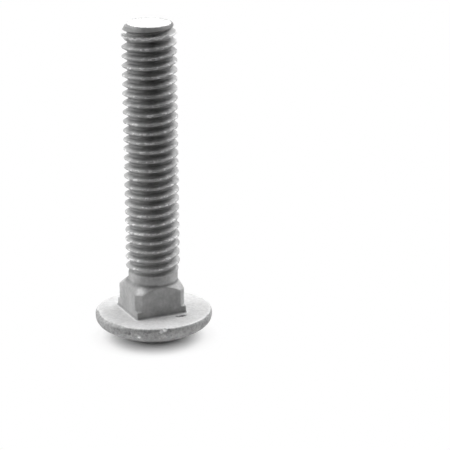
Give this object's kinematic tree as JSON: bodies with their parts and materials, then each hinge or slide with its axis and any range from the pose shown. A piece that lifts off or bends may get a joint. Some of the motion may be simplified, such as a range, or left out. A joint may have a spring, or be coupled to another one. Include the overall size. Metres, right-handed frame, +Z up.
{
  "type": "carriage bolt",
  "caption": "Carriage bolt with a domed round head, a square neck that stops it turning and a right-hand thread along its shank, galvanised.",
  "frame": {"origin": "centre of the flat spot on the crown of the domed head, on which the bolt stands", "axes": "+Z up the bolt's axis, from the crown to the point; +X and +Y square to the flats of the neck"},
  "size_m": [0.02, 0.02, 0.055],
  "materials": {
    "galvanised_steel": "dull hot-dip zinc over rolled and forged carbon steel"
  },
  "bodies": {
    "root": {"carriage_bolt": "galvanised_steel"}
  },
  "joints": []
}
